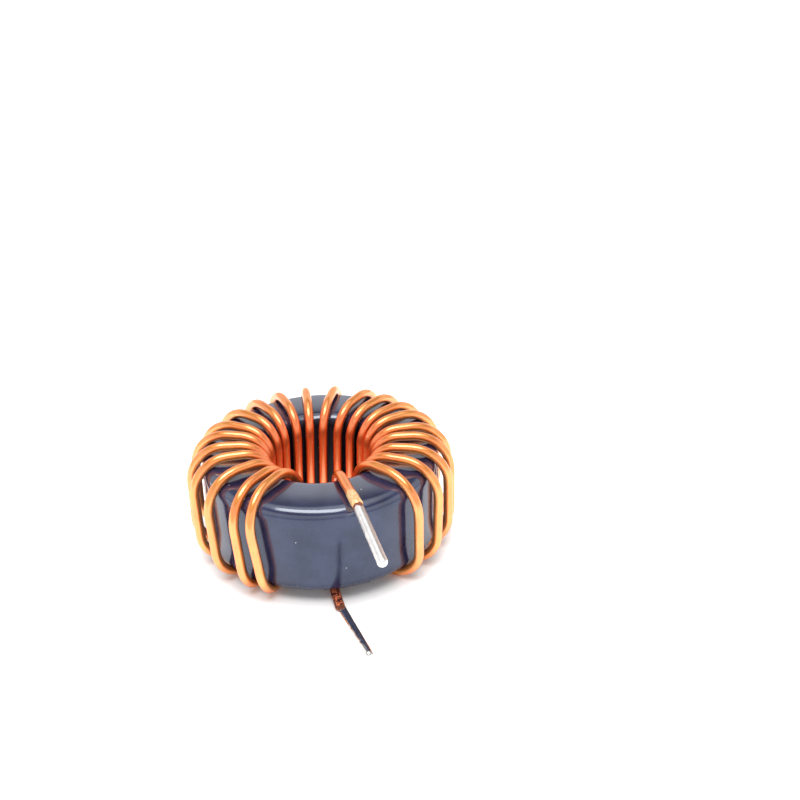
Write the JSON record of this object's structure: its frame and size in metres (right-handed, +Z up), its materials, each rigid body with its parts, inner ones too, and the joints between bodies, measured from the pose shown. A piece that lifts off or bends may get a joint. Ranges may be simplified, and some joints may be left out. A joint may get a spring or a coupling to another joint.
{
  "type": "toroidal inductor",
  "caption": "Toroidal inductor: a dark epoxy-coated ring core wound with enamelled copper wire, its stripped and tinned ends left as leads.",
  "frame": {"origin": "on the ring's axis, in the plane that the inductor rests on", "axes": "+Z up along the ring's axis, +Y away from the side where the leads come out, +X to the right seen from the leads"},
  "size_m": [0.0315, 0.0396, 0.0138],
  "materials": {
    "epoxy_coated_core": "satin",
    "enamelled_copper": "gloss",
    "solder": "satin"
  },
  "bodies": {
    "root": {"core": "epoxy_coated_core", "winding": "enamelled_copper", "upper_solder_coat": "solder", "lower_solder_coat": "solder"}
  },
  "joints": []
}
